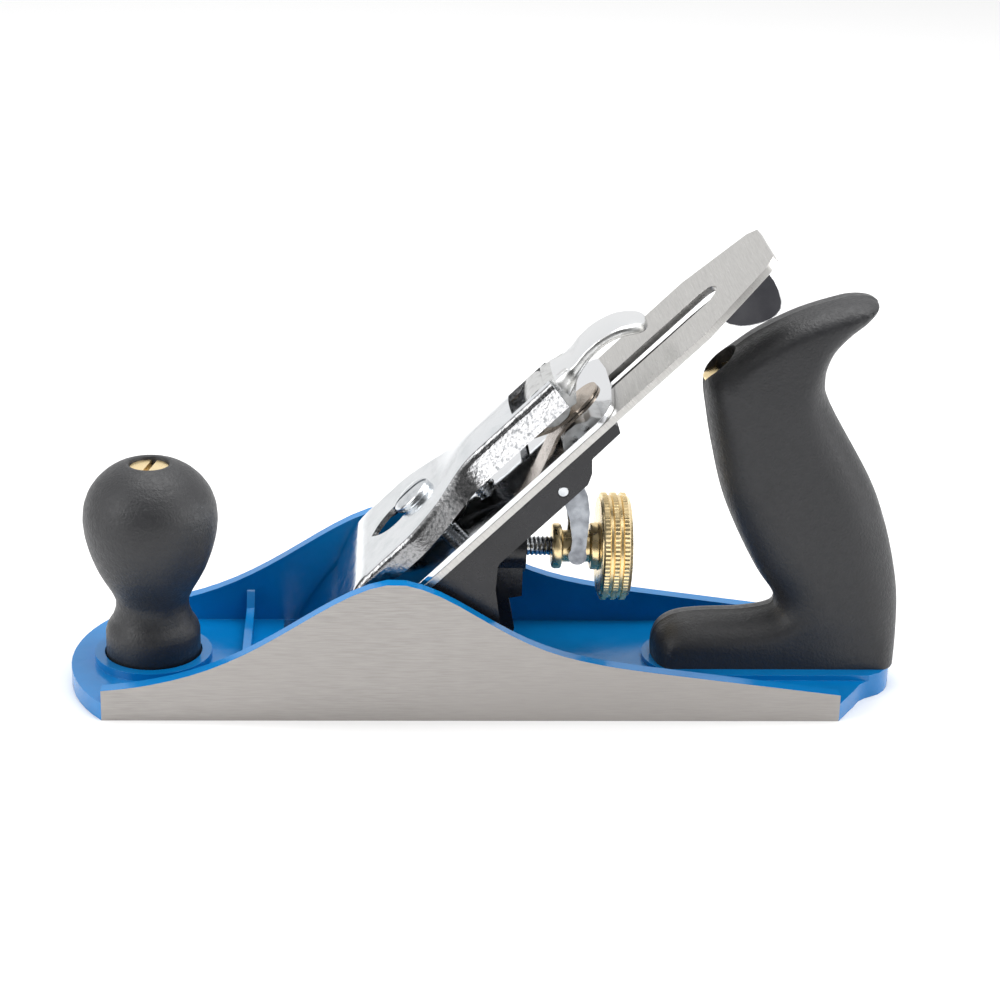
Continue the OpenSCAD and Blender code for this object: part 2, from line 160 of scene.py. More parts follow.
def eased(points, passes):
    """The same open curve with its bumps averaged out and its ends kept."""
    for _ in range(passes):
        middle = [(a + 2 * b + c) / 4 for a, b, c in zip(points, points[1:], points[2:])]
        points = [points[0]] + middle + [points[-1]]
    return points


def lathe(profile, count, ripple=None):
    """Vertices and faces of a closed (radius, height) outline turned about Z."""
    verts, faces = [], []
    for i in range(count):
        angle = 2 * math.pi * i / count
        for radius, height in profile:
            r = radius + (ripple(radius, height, angle) if ripple else 0)
            verts.append((r * math.cos(angle), r * math.sin(angle), height))
    ring = len(profile)
    for i in range(count):
        for j in range(ring):
            a, b = i * ring + j, i * ring + (j + 1) % ring
            c, d = ((i + 1) % count) * ring + (j + 1) % ring, ((i + 1) % count) * ring + j
            faces.append((a, d, c, b))
    return verts, faces


def loft(sections):
    """Vertices and faces through sections of equal length, each a closed loop of points."""
    ring = len(sections[0])
    verts = [p for section in sections for p in section]
    faces = []
    for i in range(len(sections) - 1):
        for j in range(ring):
            a, b = i * ring + j, i * ring + (j + 1) % ring
            faces.append((a, b, b + ring, a + ring))
    faces.append(tuple(range(ring))[::-1])
    faces.append(tuple((len(sections) - 1) * ring + j for j in range(ring)))
    return verts, faces


def prism(profile, half):
    """A closed outline in X and Z, from -half to half across."""
    return loft([[(x, y, z) for x, z in profile] for y in (-half, half)])


def column(outline, low, high):
    """A closed outline in X and Y, from low to high."""
    return loft([[(x, y, z) for x, y in outline] for z in (low, high)])


def smooth_step(t):
    t = min(max(t, 0.0), 1.0)
    return t * t * (3 - 2 * t)


def placed(verts, matrix):
    return [matrix @ Vector(v) for v in verts]


def cut(piece, place, *shapes):
    """Takes closed shapes, moved to their place, out of a piece and keeps the result as its mesh."""
    cutters = []
    for verts, faces in shapes:
        mesh = bpy.data.meshes.new("cutter")
        mesh.from_pydata([v * MM for v in placed(verts, place)], [], faces)
        face_outwards(mesh)
        cutters.append(linked_object("cutter", mesh))
        modifier = piece.modifiers.new("cut", "BOOLEAN")
        modifier.object = cutters[-1]
        modifier.solver = "EXACT"
    bpy.context.view_layer.update()
    evaluated = piece.evaluated_get(bpy.context.evaluated_depsgraph_get())
    result = bpy.data.meshes.new_from_object(evaluated)
    piece.modifiers.clear()
    piece.data = result
    shade_smooth(result)
    for cutter in cutters:
        bpy.data.objects.remove(cutter)


BED_ANGLE = math.radians(45)
# Where the bed plane meets the sole
BED_X = -56.5
ON_BED = Matrix.Translation((BED_X, 0, 0)) @ Matrix.Rotation(-BED_ANGLE, 4, "Y")
ALONG_X = Matrix.Rotation(math.pi / 2, 4, "Y")


# ---- Materials --------------------------------------------------------------


class Shader:
    """A material with a few nodes added to its shader by name."""

    def __init__(self, name, base, metallic, roughness, **sockets):
        self.material = bpy.data.materials.new(name)
        self.material.use_nodes = True
        self.tree = self.material.node_tree
        self.bsdf = self.tree.nodes["Principled BSDF"]
        self.base = base
        self.bsdf.inputs["Base Color"].default_value = (*base, 1)
        self.bsdf.inputs["Metallic"].default_value = metallic
        self.bsdf.inputs["Roughness"].default_value = roughness
        for socket, value in sockets.items():
            self.bsdf.inputs[socket.replace("_", " ")].default_value = value
        self.coordinates = self.tree.nodes.new("ShaderNodeTexCoord")
        self.bump = None

    def noise(self, scale, stretch=(1, 1, 1), turn=0.0, detail=3.0, roughness=0.55):
        """Noise in the object's own metres, stretched along its axes after a turn about Y."""
        mapping = self.tree.nodes.new("ShaderNodeMapping")
        mapping.vector_type = "TEXTURE"
        mapping.inputs["Rotation"].default_value = (0, turn, 0)
        mapping.inputs["Scale"].default_value = stretch
        self.tree.links.new(self.coordinates.outputs["Object"], mapping.inputs["Vector"])
        texture = self.tree.nodes.new("ShaderNodeTexNoise")
        texture.inputs["Scale"].default_value = scale
        texture.inputs["Detail"].default_value = detail
        texture.inputs["Roughness"].default_value = roughness
        self.tree.links.new(mapping.outputs["Vector"], texture.inputs["Vector"])
        return texture.outputs["Fac"]

    def spread(self, source, low, high, start=0.3, end=0.7):
        node = self.tree.nodes.new("ShaderNodeMapRange")
        node.inputs["From Min"].default_value = start
        node.inputs["From Max"].default_value = end
        node.inputs["To Min"].default_value = low
        node.inputs["To Max"].default_value = high
        self.tree.links.new(source, node.inputs["Value"])
        return node.outputs["Result"]

    def tint(self, source, other, start=0.3, end=0.7):
        """Mixes another colour in where the source is high."""
        mix = self.tree.nodes.new("ShaderNodeMix")
        mix.data_type = "RGBA"
        colour = self.bsdf.inputs["Base Color"]
        if colour.is_linked:
            self.tree.links.new(colour.links[0].from_socket, mix.inputs["A"])
        else:
            mix.inputs["A"].default_value = (*self.base, 1)
        mix.inputs["B"].default_value = (*other, 1)
        self.tree.links.new(self.spread(source, 0, 1, start, end), mix.inputs["Factor"])
        self.tree.links.new(mix.outputs["Result"], colour)
        return self

    def vary_roughness(self, source, low, high):
        self.tree.links.new(self.spread(source, low, high), self.bsdf.inputs["Roughness"])
        return self

    def relief(self, source, depth, strength=1.0):
        """Adds a bump of that depth in millimetres, on top of any before it."""
        node = self.tree.nodes.new("ShaderNodeBump")
        node.inputs["Distance"].default_value = depth * MM
        node.inputs["Strength"].default_value = strength
        self.tree.links.new(source, node.inputs["Height"])
        if self.bump:
            self.tree.links.new(self.bump, node.inputs["Normal"])
        self.bump = node.outputs["Normal"]
        self.tree.links.new(self.bump, self.bsdf.inputs["Normal"])
        return self


def make_blue():
    s = Shader("blue_enamel", (0.0005, 0.21, 0.55), 0.0, 0.17)
    s.tint(s.noise(26), (0.0005, 0.162, 0.45))
    s.vary_roughness(s.noise(180), 0.14, 0.24)
    s.relief(s.noise(170, detail=2), 0.22, 0.5)
    s.relief(s.noise(900, detail=1), 0.03, 0.5)
    return s.material


def make_ground():
    s = Shader("ground_side", (0.42, 0.40, 0.385), 1.0, 0.42)
    grain = s.noise(250, stretch=(1.6, 1, 0.07), detail=3, roughness=0.6)
    s.tint(grain, (0.34, 0.325, 0.31), 0.35, 0.65)
    s.tint(s.noise(14, stretch=(3, 1, 1)), (0.385, 0.365, 0.35))
    s.vary_roughness(grain, 0.36, 0.5)
    s.relief(grain, 0.012, 0.5)
    return s.material


def make_blade_steel():
    s = Shader("ground_blade", (0.58, 0.57, 0.55), 1.0, 0.3)
    grain = s.noise(250, stretch=(0.07, 1.6, 1), turn=-BED_ANGLE, detail=3, roughness=0.6)
    s.tint(grain, (0.49, 0.48, 0.465), 0.35, 0.7)
    s.vary_roughness(grain, 0.26, 0.36)
    s.relief(grain, 0.006, 0.4)
    return s.material


def make_zinc():
    s = Shader("zinc_plate", (0.80, 0.82, 0.84), 1.0, 0.14)
    s.tint(s.noise(160), (0.70, 0.73, 0.75), 0.45, 0.75)
    s.vary_roughness(s.noise(300), 0.09, 0.2)
    s.relief(s.noise(520, detail=2), 0.05, 0.6)
    return s.material


def make_flange_painted_reflection():
    """The sides of the pressed lever cap: the same plate over a stippled skin, painted darker than the top
    as a painted reflection.
    """
    s = Shader("zinc_flange_painted_reflection", (0.34, 0.34, 0.345), 1.0, 0.2)
    s.tint(s.noise(900, detail=2), (0.15, 0.155, 0.16), 0.48, 0.68)
    s.vary_roughness(s.noise(300), 0.14, 0.28)
    s.relief(s.noise(1100, detail=2), 0.12, 0.9)
    return s.material


def make_finger_top_painted_highlight():
    """The top of the cam lever's finger: painted lighter than its sides as a painted highlight, and
    smoother.
    """
    s = Shader("zinc_top_painted_highlight", (0.80, 0.81, 0.82), 1.0, 0.2)
    s.vary_roughness(s.noise(200), 0.14, 0.26)
    s.relief(s.noise(150, detail=2), 0.03, 0.5)
    return s.material


def make_yoke_steel():
    s = Shader("yoke_steel", (0.36, 0.38, 0.41), 1.0, 0.22)
    s.tint(s.noise(130), (0.17, 0.18, 0.20), 0.42, 0.62)
    s.vary_roughness(s.noise(260), 0.15, 0.32)
    s.relief(s.noise(500), 0.02, 0.4)
    return s.material


def make_chrome():
    s = Shader("bright_chrome", (0.78, 0.79, 0.81), 1.0, 0.06)
    s.vary_roughness(s.noise(120), 0.04, 0.1)
    s.relief(s.noise(60, detail=1), 0.02, 0.4)
    return s.material


def make_cast_zinc():
    s = Shader("cast_zinc", (0.66, 0.665, 0.66), 1.0, 0.3)
    s.tint(s.noise(420, detail=4), (0.46, 0.46, 0.45), 0.5, 0.72)
    s.vary_roughness(s.noise(240), 0.22, 0.42)
    s.relief(s.noise(650, detail=3), 0.06, 0.6)
    return s.material


def make_screw_steel():
    s = Shader("plated_steel", (0.66, 0.68, 0.70), 1.0, 0.2)
    s.tint(s.noise(300), (0.50, 0.53, 0.56), 0.4, 0.75)
    s.vary_roughness(s.noise(500), 0.14, 0.3)
    s.relief(s.noise(700), 0.02, 0.4)
    return s.material


def make_spring():
    s = Shader("spring_leaf", (0.55, 0.47, 0.39), 1.0, 0.2)
    s.tint(s.noise(70, stretch=(3, 1, 1), turn=-BED_ANGLE), (0.42, 0.36, 0.31))
    s.vary_roughness(s.noise(300), 0.14, 0.3)
    return s.material


def make_brass():
    s = Shader("brass", (1.0, 0.80, 0.46), 1.0, 0.32)
    s.tint(s.noise(90), (0.94, 0.73, 0.39))
    s.vary_roughness(s.noise(400), 0.22, 0.36)
    s.relief(s.noise(900), 0.01, 0.4)
    return s.material


def make_lever_face_painted_dark():
    """The flat faces of the lateral lever, painted near black as a painted reflection, beside its edges in
    bright chrome as a painted highlight.
    """
    s = Shader("lever_face_painted_dark", (0.065, 0.065, 0.07), 1.0, 0.16)
    s.tint(s.noise(90), (0.035, 0.035, 0.04))
    s.vary_roughness(s.noise(200), 0.1, 0.22)
    s.relief(s.noise(60, detail=1), 0.04, 0.5)
    return s.material


def make_frog_paint():
    s = Shader("frog_satin", (0.008, 0.008, 0.010), 0.0, 0.24)
    s.tint(s.noise(50), (0.014, 0.014, 0.017))
    s.vary_roughness(s.noise(240), 0.2, 0.34)
    s.relief(s.noise(220, detail=3), 0.2, 0.5)
    return s.material


def make_plastic():
    s = Shader("black_plastic", (0.017, 0.0175, 0.0195), 0.0, 0.44)
    s.tint(s.noise(40), (0.023, 0.0235, 0.026))
    s.vary_roughness(s.noise(700), 0.38, 0.54)
    s.relief(s.noise(1300, detail=2), 0.22, 0.9)
    return s.material


blue = make_blue()
ground = make_ground()
plastic = make_plastic()
brass = make_brass()
screw_steel = make_screw_steel()
MATERIAL = {
    "painted_casting": blue, "frog_paint": make_frog_paint(), "plated_steel": screw_steel,
    "brass": brass, "bright_chrome": make_chrome(), "ground_steel": make_blade_steel(),
    "zinc_plate": make_zinc(), "spring_steel": make_spring(), "cast_zinc": make_cast_zinc(),
    "black_plastic": plastic,
}
for node, obj in frame["nodes"].items():
    obj.data.materials.clear()
    obj.data.materials.append(MATERIAL[SLOT_OF[node]])


# ---- Casting ----------------------------------------------------------------


def build_casting():
    """The body with rounded inner edges, a rolled top to its walls, and ground sides and sole."""
    _, high = box_mm("body")
    bm = merged_copy("body")
    weight = bm.edges.layers.float.new("bevel_weight_edge")
    rolled, crisp = 1.2, 0.2
    near = 0.1
    for edge in bm.edges:
        if len(edge.link_faces) != 2 or edge.calc_face_angle(0) < math.radians(28):
            continue
        ends = [v.co for v in edge.verts]
        on_sole = all(c.z < near / 2 for c in ends)
        on_side = all(abs(c.y) > high.y - near / 2 for c in ends)
        upright = abs(ends[0].z - ends[1].z) > 1 and on_side
        edge[weight] = crisp / rolled if on_sole or upright else 1.0
    mesh = bpy.data.meshes.new("casting")
    blue_index, ground_index = 0, 1
    bm.normal_update()
    for face in bm.faces:
        centre = face.calc_center_median()
        side = abs(face.normal.y) > 0.99 and abs(centre.y) > high.y - near
        sole = face.normal.z < -0.99 and centre.z < near
        face.material_index = ground_index if side or sole else blue_index
        face.smooth = True
    bmesh.ops.scale(bm, vec=(MM,) * 3, verts=bm.verts)
    bm.to_mesh(mesh)
    bm.free()
    mesh.materials.append(blue)
    mesh.materials.append(ground)
    piece = linked_object("casting", mesh)
    rounding = piece.modifiers.new("bevel", "BEVEL")
    rounding.width = rolled * MM
    rounding.segments = 3
    rounding.limit_method = "WEIGHT"
    rounding.material = blue_index
    weight_normals(piece)
    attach(piece, BODY_OF["body"])
    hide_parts("body")


build_casting()


# ---- Handles ----------------------------------------------------------------

# Radius of the counterbores that the brass nuts sit in
COUNTERBORE = 5.75
# The tote's bolt: its foot on the heel, its lean, and how far up it the nut's seat is
TOTE_FOOT = Vector((97.6, 0, 7.2))
TOTE_LEAN = math.radians(20)
TOTE_SEAT = 90.1


def outer_profile(node, centre_x):
    """The outer (radius, height) outline of a turned node, from the bottom up."""
    widest = {}
    for v in frame["nodes"][node].data.vertices:
        x, y, z = v.co / MM
        radius = math.hypot(x - centre_x, y)
        key = round(z, 2)
        widest[key] = max(widest.get(key, 0), radius)
    return [(widest[z], z) for z in sorted(widest)]


def build_knob():
    low, high = box_mm("knob")
    centre_x = (low.x + high.x) / 2
    bore, lip = 3.3, 0.3
    nut_height = 5.1
    seat = box_mm("knob_nut")[1].z - nut_height
    outline = [p for p in outer_profile("knob", centre_x) if p[0] > COUNTERBORE + 0.5]
    curve = outline[:2] + [tuple(p) for p in eased(spline(outline[2:], 6), 40)]
    crown = [(COUNTERBORE + lip, high.z), (COUNTERBORE, high.z - lip), (COUNTERBORE, seat), (bore, seat)]
    verts, faces = lathe(curve + crown + [(bore, low.z)], 96)
    verts = placed(verts, Matrix.Translation((centre_x, 0, 0)))
    piece = add_piece("knob_grip", verts, faces, plastic, "knob")
    edge_angle_shading(piece, 50)
    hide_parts("knob")


build_knob()


def side_outline(node):
    """Ordered (x, z) loop of a flat-sided node's side."""
    bm = merged_copy(node)
    top = max(v.co.y for v in bm.verts)
    sides = [f for f in bm.faces if all(v.co.y > top - 0.01 for v in f.verts)]
    face = max(sides, key=lambda f: f.calc_area())
    loop = [(v.co.x, v.co.z) for v in face.verts]
    bm.free()
    return loop


def distance_to(points, outline):
    """Distance of each point to the nearest of the outline's segments."""
    best = np.full(len(points), 1e9)
    for a, b in outline:
        along = b - a
        t = np.clip(((points - a) @ along) / (along @ along), 0, 1)
        best = np.minimum(best, np.linalg.norm(points - (a + t[:, None] * along), axis=1))
    return best


def tote_half_width(z):
    """Half width of the tote at a height: a flat foot, a full grip and a slimmer horn."""
    heights = [7, 16, 24, 42, 70, 90, 104, 121]
    return float(np.interp(z, heights, [11.4, 11.2, 11.8, 12.5, 12.5, 12.3, 11.8, 10.8]))


def tote_round(z):
    """How far in from the outline the side is still rounding over."""
    heights = [7, 14, 24, 42, 70, 88, 100, 121]
    return float(np.interp(z, heights, [5.0, 7.0, 11.0, 14.0, 13.5, 9.0, 5.6, 5.0]))


def tote_rim(foot_z):
    """The tote's smoothed outline as one open line, from one end of its foot over to the other."""
    loop = side_outline("tote")
    start = max((i for i, p in enumerate(loop) if p[1] < foot_z + 0.01), key=lambda i: loop[i][0])
    loop = loop[start:] + loop[:start]
    if loop[1][1] < foot_z + 0.01:
        loop = [loop[0]] + loop[:0:-1]
    return [p for p in spline(loop, 5) if p[1] > foot_z - 0.01]


def tote_scatter(low, high, rim, segments):
    """Points inside the outline: rows along the rim, and a plain grid in the middle."""
    inner = []
    for inset in (0.12, 0.3, 0.6, 1.0, 1.6, 2.4, 3.4, 4.6, 6.0, 7.8):
        for i, p in enumerate(rim):
            ahead, behind = rim[min(i + 1, len(rim) - 1)], rim[max(i - 1, 0)]
            tangent = (ahead - behind) / (np.linalg.norm(ahead - behind) + 1e-9)
            for sign in (-1, 1):
                q = p + sign * inset * np.array((-tangent[1], tangent[0]))
                inner.append((q, inset))
    points = np.array([q for q, _ in inner])
    wanted = np.array([w for _, w in inner])
    away = distance_to(points, segments)
    points = points[(away > wanted - 0.02) & (points[:, 1] > low.z + 0.3)]
    step, rows_end = 2.0, 8.8
    xs, zs = np.arange(low.x, high.x, step), np.arange(low.z + 1, high.z, step)
    grid = np.array([(x, z) for x in xs for z in zs])
    grid = grid[distance_to(grid, segments) > rows_end]
    return np.vstack([points, grid])


def tote_lift(z, d):
    """Half thickness of the tote at a height and a distance in from its outline."""
    ridge, ridge_y = 0.12, 0.22
    if d <= 1e-4:
        return 0.0
    t = min(max((d - ridge) / tote_round(z), 0), 1)
    return ridge_y * min(d / ridge, 1) + (tote_half_width(z) - ridge_y) * math.sqrt(1 - (1 - t) ** 2)


def build_tote():
    """The grip: its outline filled with triangles and raised to both sides."""
    low, high = box_mm("tote")
    foot_z = low.z
    rim = tote_rim(foot_z)
    segments = list(zip(rim, rim[1:]))
    foot = [np.array((x, foot_z)) for x in np.linspace(rim[-1][0], rim[0][0], 60)[1:-1]]
    border = rim + foot
    edges = [(i, (i + 1) % len(border)) for i in range(len(border))]
    flat = [Vector(p) for p in border + list(tote_scatter(low, high, rim, segments))]
    inside = 1
    filled = delaunay_2d_cdt(flat, edges, [], inside, 1e-4)
    out, faces = np.array([tuple(v) for v in filled[0]]), filled[2]
    verts, left, right = [], {}, {}
    for i, ((x, z), d) in enumerate(zip(out, distance_to(out, segments))):
        lift = tote_lift(z, d)
        left[i] = len(verts)
        verts.append((x, lift, z))
        if lift > 0:
            right[i] = len(verts)
            verts.append((x, -lift, z))
        else:
            right[i] = left[i]
    shell = [tuple(left[i] for i in f) for f in faces]
    shell += [tuple(right[i] for i in reversed(f)) for f in faces]
    base = sorted((i for i, (x, z) in enumerate(out) if z < foot_z + 0.005), key=lambda i: out[i][0])
    for a, b in zip(base, base[1:]):
        ring = [left[a], left[b], right[b], right[a]]
        ring = [v for k, v in enumerate(ring) if v not in ring[:k]]
        if len(ring) > 2:
            shell.append(tuple(ring))
    piece = add_piece("tote_grip", verts, shell, plastic, "tote")
    up_bolt = Matrix.Translation(TOTE_FOOT) @ Matrix.Rotation(-TOTE_LEAN, 4, "Y")
    top = TOTE_SEAT + 30.1
    cut(piece, up_bolt,
        lathe([(0.01, TOTE_SEAT), (COUNTERBORE, TOTE_SEAT), (COUNTERBORE, top), (0.01, top)], 48))
    edge_angle_shading(piece, 50)
    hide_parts("tote")


build_tote()


# ---- Wheel, studs and screws ------------------------------------------------


def build_wheel():
    low, high = box_mm("depth_wheel")
    axis_z = (low.z + high.z) / 2
    rim = high.z - axis_z
    teeth, knurl_depth, groove = 84, 0.2, 0.7
    start, end = low.x, high.x
    face = end - 9.0
    # From the stud's bore out over the small flange, the neck for the yoke, and the wheel's front
    profile = [
        (3.02, start), (5.9, start), (6.4, start + 0.2), (6.7, start + 0.8), (6.7, start + 2.1),
        (6.4, start + 2.7), (5.6, start + 3.0), (4.7, start + 3.2), (4.7, face - 2.8), (5.2, face - 2.5),
        (6.6, face - 2.4), (6.9, face - 2), (6.9, face - 0.3), (7.2, face), (rim - 2.2, face),
        (rim - 1.4, face + 0.1), (rim - 1.2, face + 0.4)]
    for near, far in ((0.5, 2.5), (3.3, 5.3), (6.1, 8.1)):
        profile += [(rim - groove, face + near), (rim, face + near + 0.3), (rim, face + far - 0.3),
                    (rim - groove, face + far)]
    profile += [(rim - 1.5, end - 0.1), (rim - 2.4, end), (rim - 3.4, end), (rim - 4.2, end - 0.4),
                (8.4, end - 0.4), (7.6, end), (3.02, end)]

    def knurl(radius, height, angle):
        if radius < rim - 0.5:
            return 0.0
        return -knurl_depth * (0.5 + 0.5 * math.cos(teeth * angle))

    verts, faces = lathe(profile, teeth * 4, knurl)
    place = Matrix.Translation((0, 0, axis_z)) @ ALONG_X
    piece = add_piece("wheel_knurled", placed(verts, place), faces, brass, "depth_wheel")
    edge_angle_shading(piece, 38)
    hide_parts("depth_wheel")


build_wheel()


def thread(radius, depth, pitch, start, end, columns=28, rows=4):
    """A threaded rod along Z: its surface dips by depth on a helix."""
    steps = max(int((end - start) / pitch * rows), 2)
    verts, faces = [], []
    for j in range(steps + 1):
        z = start + (end - start) * j / steps
        for i in range(columns):
            phase = (z / pitch - i / columns) % 1
            r = radius - depth * (1 - abs(2 * phase - 1))
            angle = 2 * math.pi * i / columns
            verts.append((r * math.cos(angle), r * math.sin(angle), z))
    for j in range(steps):
        for i in range(columns):
            a, b = j * columns + i, j * columns + (i + 1) % columns
            faces.append((a, b, b + columns, a + columns))
    faces.append(tuple(range(columns))[::-1])
    faces.append(tuple(steps * columns + i for i in range(columns)))
    return verts, faces


def build_wheel_stud():
    low, high = box_mm("wheel_stud")
    axis_z = (low.z + high.z) / 2
    verts, faces = thread(high.z - axis_z, 0.5, 1.25, low.x, high.x)
    place = Matrix.Translation((0, 0, axis_z)) @ ALONG_X
    piece = add_piece("wheel_stud_threaded", placed(verts, place), faces, screw_steel, "wheel_stud")
    edge_angle_shading(piece, 60)
    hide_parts("wheel_stud")


build_wheel_stud()


# ---- Lever cap, cam and screws ----------------------------------------------


# Height of the cap's flat top, its sheet's thickness, and where its nose, fold and end are
CAP_TOP = 15.8
CAP_SHEET = 1.6
NOSE, FOLD, CAP_END = 27.6, 41.0, 118.0
# Where the cap's screw, the cap iron's screw and the cam's pin are on the bed
CAP_SCREW_S = 64.3
IRON_SCREW_S = 81
CAM_S, CAM_H = 112.5, 11.2
# Half width of the cam's root and shoulder, which turn in the cap's notch
CAM_HALF = 7.8


def cap_section(s):
    """The formed sheet's closed (y, h) section at a place up the bed."""
    wide, taper = 24.4, 9.4
    half = wide - taper * smooth_step((s - 59) / 25) ** 0.9
    nose_h, fold_softness = 10.6, 1.6
    slope = (CAP_TOP - nose_h) / (FOLD - NOSE)
    drop = slope * fold_softness * math.log1p(math.exp((FOLD - s) / fold_softness))
    upper = smooth_step((s - 70) / 18)
    rise, lean = 1.3 * upper, 4.4 * upper
    top = CAP_TOP - drop + rise
    crown = 0.15 + 0.5 * upper
    depth = 6.9
    flange = CAP_SHEET + 0.05 + (depth - CAP_SHEET) * smooth_step((s - 36) / 16) + 0.6 * upper
    bend = min(2.3, flange)

    def skin(inset, radius):
        """One face of the sheet, from flange to flange over the crown."""
        foot, fold = inset - half, inset + lean - half
        points = [(foot, top - flange)]
        for k in range(7):
            a = math.pi / 2 * k / 6
            points.append((fold + radius * (1 - math.cos(a)), top - inset - radius * (1 - math.sin(a))))
        for k in range(1, 12):
            v = -1 + k / 6
            points.append((-v * (fold + radius), top - inset + crown * (1 - v * v)))
        return points + [(-y, h) for y, h in reversed(points[:8])]

    return skin(0, bend) + skin(CAP_SHEET, max(bend - CAP_SHEET, 0.02))[::-1]


def second_material(piece, material, chosen):
    """Gives the faces whose normal on the bed is chosen a material of their own."""
    piece.data.materials.append(material)
    turn = ON_BED.to_3x3().inverted()
    for polygon in piece.data.polygons:
        if chosen(turn @ polygon.normal):
            polygon.material_index = 1


def build_lever_cap():
    """The pressed sheet, with its keyhole and the notch that the cam turns in."""
    stations = list(np.arange(NOSE, CAP_END, 1.5)) + [CAP_END]
    verts, faces = loft([[(s, y, h) for y, h in cap_section(s)] for s in stations])
    piece = add_piece("lever_cap_sheet", placed(verts, ON_BED), faces, MATERIAL["zinc_plate"], "lever_cap")
    keyhole = spline([(46.8, 0), (49.5, 3.6), (52.5, 5.9), (56, 6.9), (59.4, 6.1), (61.6, 4.4), (63, 3.7),
                      (CAP_SCREW_S + 1, 3.6), (CAP_SCREW_S + 3.2, 2), (CAP_SCREW_S + 3.6, 0)], 4)
    loop = [(s, y) for s, y in keyhole] + [(s, -y) for s, y in keyhole[-2:0:-1]]
    notch = prism([(103.6, 12.6), (124, 12.6), (124, 24), (103.6, 24)], CAM_HALF + 0.3)
    cut(piece, ON_BED, column(loop, 8, 22), notch)
    # Faces turned to the sides get the darker flange colour, a painted reflection
    second_material(piece, make_flange_painted_reflection(), lambda n: abs(n.y) > 0.45)
    bevel(piece, 0.3, 2, 50)
    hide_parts("lever_cap")


def finger_sections():
    """Rounded sections of the cam's curved finger, square to it, from its root to its rounded end."""
    low_side = spline([(119.5, 9.6), (122.3, 10.4), (125.7, 11.9), (131.3, 13.2), (137, 13.1), (142, 11.4),
                       (146, 8.6), (148.2, 7.6)], 5)
    top_side = spline([(119.5, 16.6), (122.5, 16.0), (126.2, 15.9), (131, 16.6), (137, 16.3), (142.6, 14.6),
                       (147, 11.6), (149.2, 9.6)], 5)
    root_half, waist = 11.0, 2.6
    tip_start, tip_length = 0.72, 0.285
    # Powers below 1 square the oval off, more across than up
    across_power, up_power = 0.35, 0.45
    around = 24
    count = len(low_side)
    sections = []
    for i in range(count):
        t = i / (count - 1)
        half = root_half - waist * smooth_step(t / 0.25)
        if t > tip_start:
            half *= math.sqrt(max(1 - ((t - tip_start) / tip_length) ** 2, 0.02))
        (s0, h0), (s1, h1) = low_side[i], top_side[i]
        section = []
        for k in range(around):
            a = 2 * math.pi * k / around
            y, v = math.cos(a), math.sin(a)
            y = math.copysign(abs(y) ** across_power, y)
            v = math.copysign(abs(v) ** up_power, v)
            w = (v + 1) / 2
            dish = 0.5 * (1 - y * y)
            section.append((s0 + (s1 - s0) * w, half * y, h0 + (h1 - h0) * w + dish))
        sections.append(section)
    return sections


def build_cam_lever():
    """The cam: a disc with a flat under it, a shoulder behind the cap, and a curved finger."""
    cast_zinc = MATERIAL["cast_zinc"]
    verts, faces = loft(finger_sections())
    finger = add_piece("cam_finger", placed(verts, ON_BED), faces, cast_zinc, "cam_lever")
    # Faces turned up get the lighter colour, a painted highlight
    second_material(finger, make_finger_top_painted_highlight(), lambda n: n.z > 0.3 and abs(n.y) < 0.6)
    edge_angle_shading(finger, 60)
    radius, flat_below = 6.2, 6
    disc = [(CAM_S + radius * math.cos(a), CAM_H + max(radius * math.sin(a), -flat_below))
            for a in np.linspace(math.radians(45), math.radians(315), 40)]
    throat = [(119, 6.6), (121, 9), (121, 16.4), (118.4, 16.9), (116, 17.3)]
    verts, faces = prism(disc + throat, CAM_HALF)
    root = add_piece("cam_root", placed(verts, ON_BED), faces, cast_zinc, "cam_lever")
    bevel(root, 0.5)
    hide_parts("cam_lever")
    block = [(118.5, 9.4), (121.4, 9.4), (123.6, 11.5), (124.2, 13), (124.2, 16), (120.2, 16.6),
             (118.5, 16.4)]
    verts, faces = prism(block, CAM_HALF)
    shoulder = add_piece("cam_shoulder", placed(verts, ON_BED), faces, cast_zinc, "cam_lever")
    bevel(shoulder, 0.7, 3)


def build_cam_pin():
    """The pin that the cam turns on, flush inside the lever cap's sides."""
    place = ON_BED @ Matrix.Translation((CAM_S, 0, CAM_H)) @ Matrix.Rotation(math.pi / 2, 4, "X")
    radius, end, chamfer = 1.5, 12.6, 0.2
    half = [(radius, end - chamfer), (radius - chamfer, end), (0.01, end)]
    verts, faces = lathe([(r, -z) for r, z in reversed(half)] + half, 32)
    pin = add_piece("cam_pin_turned", placed(verts, place), faces, screw_steel, "cam_pin")
    edge_angle_shading(pin, 40)
    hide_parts("cam_pin")


def build_cap_screw():
    """Pan head over the lever cap, slotted, on a threaded shank that goes into the frog."""
    place = ON_BED @ Matrix.Translation((CAP_SCREW_S, 0, 0))
    radius, rim_h, dome = 6.4, 17.1, 1.6
    head = [(0.01, 15.9), (radius - 0.2, 15.9), (radius, 16.2), (radius, rim_h)]
    head += [(radius * math.cos(a) ** 0.6, rim_h + dome * math.sin(a)) for a in np.linspace(0.12, 1.45, 12)]
    head += [(0.01, rim_h + dome + 0.01)]
    verts, faces = lathe(head, 64)
    piece = add_piece("lever_cap_screw_head", placed(verts, place), faces, screw_steel, "lever_cap_screw")
    reach, slot_half, slot_floor = 7, 0.75, 17.6
    slot = [(-reach, -slot_half), (reach, -slot_half), (reach, slot_half), (-reach, slot_half)]
    cut(piece, place, column(slot, slot_floor, 21))
    edge_angle_shading(piece, 40)
    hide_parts("lever_cap_screw")
    verts, faces = thread(3.0, 0.45, 1.0, -8.9, 15.95)
    shank = add_piece("lever_cap_screw_shank", placed(verts, place), faces, screw_steel, "lever_cap_screw")
    edge_angle_shading(shank, 60)


